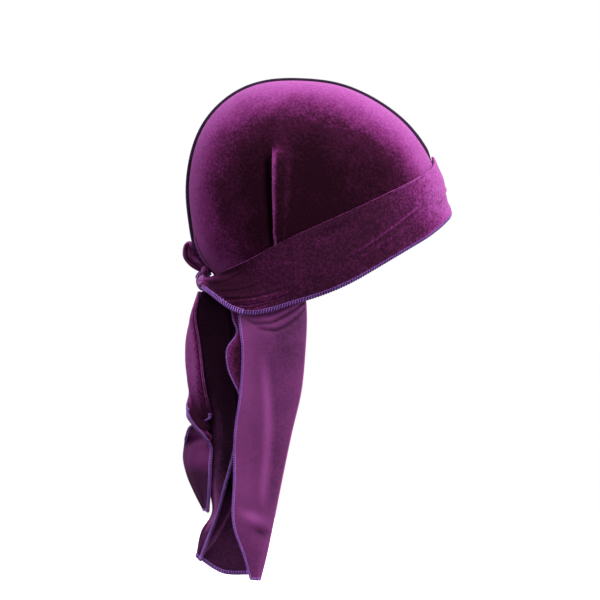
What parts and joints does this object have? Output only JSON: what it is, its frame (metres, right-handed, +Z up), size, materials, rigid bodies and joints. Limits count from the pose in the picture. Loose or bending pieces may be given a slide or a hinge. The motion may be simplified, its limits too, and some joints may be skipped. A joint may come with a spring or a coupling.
{
  "type": "velvet durag, tied as worn",
  "caption": "Head wrap in velvet: domed crown with an outside centre seam, wide strap band, rear knot with bow loop and free tails, and a long neck cape.",
  "frame": {"origin": "inside of the crown's top, in the middle plane, where a head carries it", "axes": "+Z up, +X towards the forehead, +Y towards the wearer's left ear"},
  "size_m": [0.2052, 0.1602, 0.3758],
  "materials": {
    "velvet": "deep plum velvet with a bright magenta sheen at grazing angles",
    "wrong_side": "smooth lilac knit back with a low satin gloss",
    "overlock": "violet overlock thread over cloth edges"
  },
  "bodies": {
    "root": {"crown_right": "velvet", "crown_left": "velvet", "crown_seam": "overlock", "band": "velvet", "knot": "wrong_side", "bow_loop": "velvet", "tail_left": "velvet", "tail_right": "velvet", "cape": "wrong_side", "cape_corner": "velvet"}
  },
  "joints": []
}
